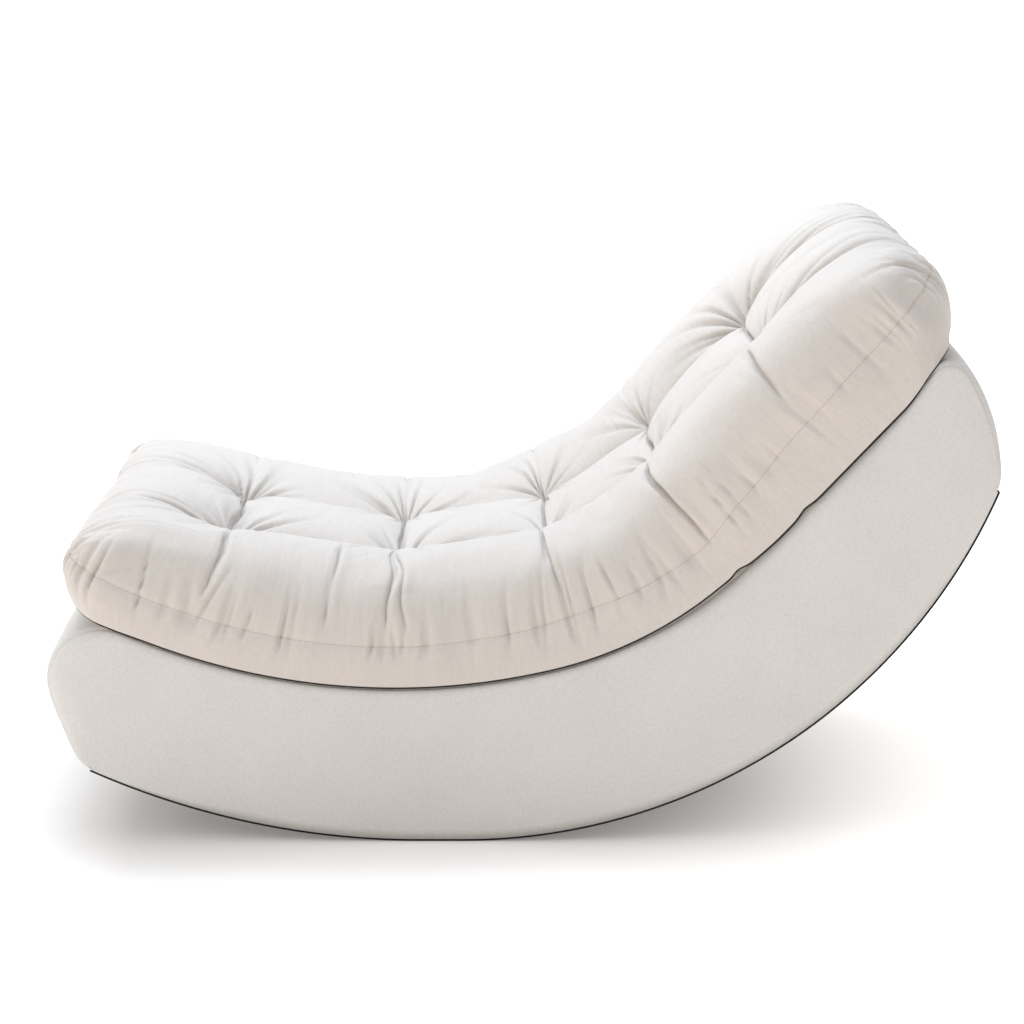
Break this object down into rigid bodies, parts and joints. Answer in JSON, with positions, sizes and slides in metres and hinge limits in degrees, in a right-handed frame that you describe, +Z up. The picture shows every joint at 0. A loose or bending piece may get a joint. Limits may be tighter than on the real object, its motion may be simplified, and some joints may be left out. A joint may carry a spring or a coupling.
{
  "type": "rocking lounge chair",
  "caption": "Armless rocking lounge chair: an upholstered crescent base that rocks on its curved underside, with a loose tufted cushion in its hollow.",
  "frame": {"origin": "on the floor under the middle of the overall box, on the chair's plane of symmetry", "axes": "+X towards the head end, +Y towards the sitter's right side, +Z up; the sitter faces -X"},
  "size_m": [1.324, 0.8112, 0.8232],
  "materials": {
    "base_felt": "felted light grey-beige upholstery cloth",
    "cushion_cotton": "matte off-white cotton cloth over soft filling",
    "cushion_lining": "plain woven lining",
    "upholstery_foam": "open-cell foam",
    "birch_plywood": "raw birch plywood",
    "pine_timber": "raw planed pine",
    "black_sole": "matte black sole sheet",
    "elastic_webbing": "black elastic webbing",
    "cast_iron": "rough cast",
    "hook_tape": "hook tape",
    "loop_tape": "loop tape",
    "tuft_twine": "waxed twine"
  },
  "bodies": {
    "base": {"back_rail": "pine_timber", "ballast_bar_left_1": "cast_iron", "ballast_bar_left_2": "cast_iron", "ballast_bar_right_1": "cast_iron", "ballast_bar_right_2": "cast_iron", "centre_rib": "birch_plywood", "front_rail": "pine_timber", "hook_strip_back": "hook_tape", "hook_strip_seat": "hook_tape", "rocker_skin": "birch_plywood", "rocker_sole": "black_sole", "side_cover_left": "base_felt", "side_cover_right": "base_felt", "side_foam_left": "upholstery_foam", "side_foam_right": "upholstery_foam", "side_frame_left": "birch_plywood", "side_frame_right": "birch_plywood", "stretcher_1": "pine_timber", "stretcher_2": "pine_timber", "stretcher_3": "pine_timber", "stretcher_4": "pine_timber", "top_cover": "base_felt", "webbing_strap_1": "elastic_webbing", "webbing_strap_2": "elastic_webbing", "webbing_strap_3": "elastic_webbing", "webbing_strap_4": "elastic_webbing", "webbing_strap_5": "elastic_webbing", "webbing_strap_6": "elastic_webbing", "webbing_strap_7": "elastic_webbing", "webbing_strap_8": "elastic_webbing", "webbing_strap_9": "elastic_webbing", "wrap_foam": "upholstery_foam"},
    "cushion": {"cushion_boxing": "cushion_cotton", "cushion_core": "upholstery_foam", "cushion_top": "cushion_cotton", "cushion_underside": "cushion_lining", "loop_strip_back": "loop_tape", "loop_strip_seat": "loop_tape", "tuft_tie_1": "tuft_twine", "tuft_tie_10": "tuft_twine", "tuft_tie_2": "tuft_twine", "tuft_tie_3": "tuft_twine", "tuft_tie_4": "tuft_twine", "tuft_tie_5": "tuft_twine", "tuft_tie_6": "tuft_twine", "tuft_tie_7": "tuft_twine", "tuft_tie_8": "tuft_twine", "tuft_tie_9": "tuft_twine"}
  },
  "joints": [
    {"name": "cushion_lift", "type": "slide", "parent": "base", "child": "cushion", "axis": [0, 0, 1], "range_m": [0, 0.3]}
  ]
}
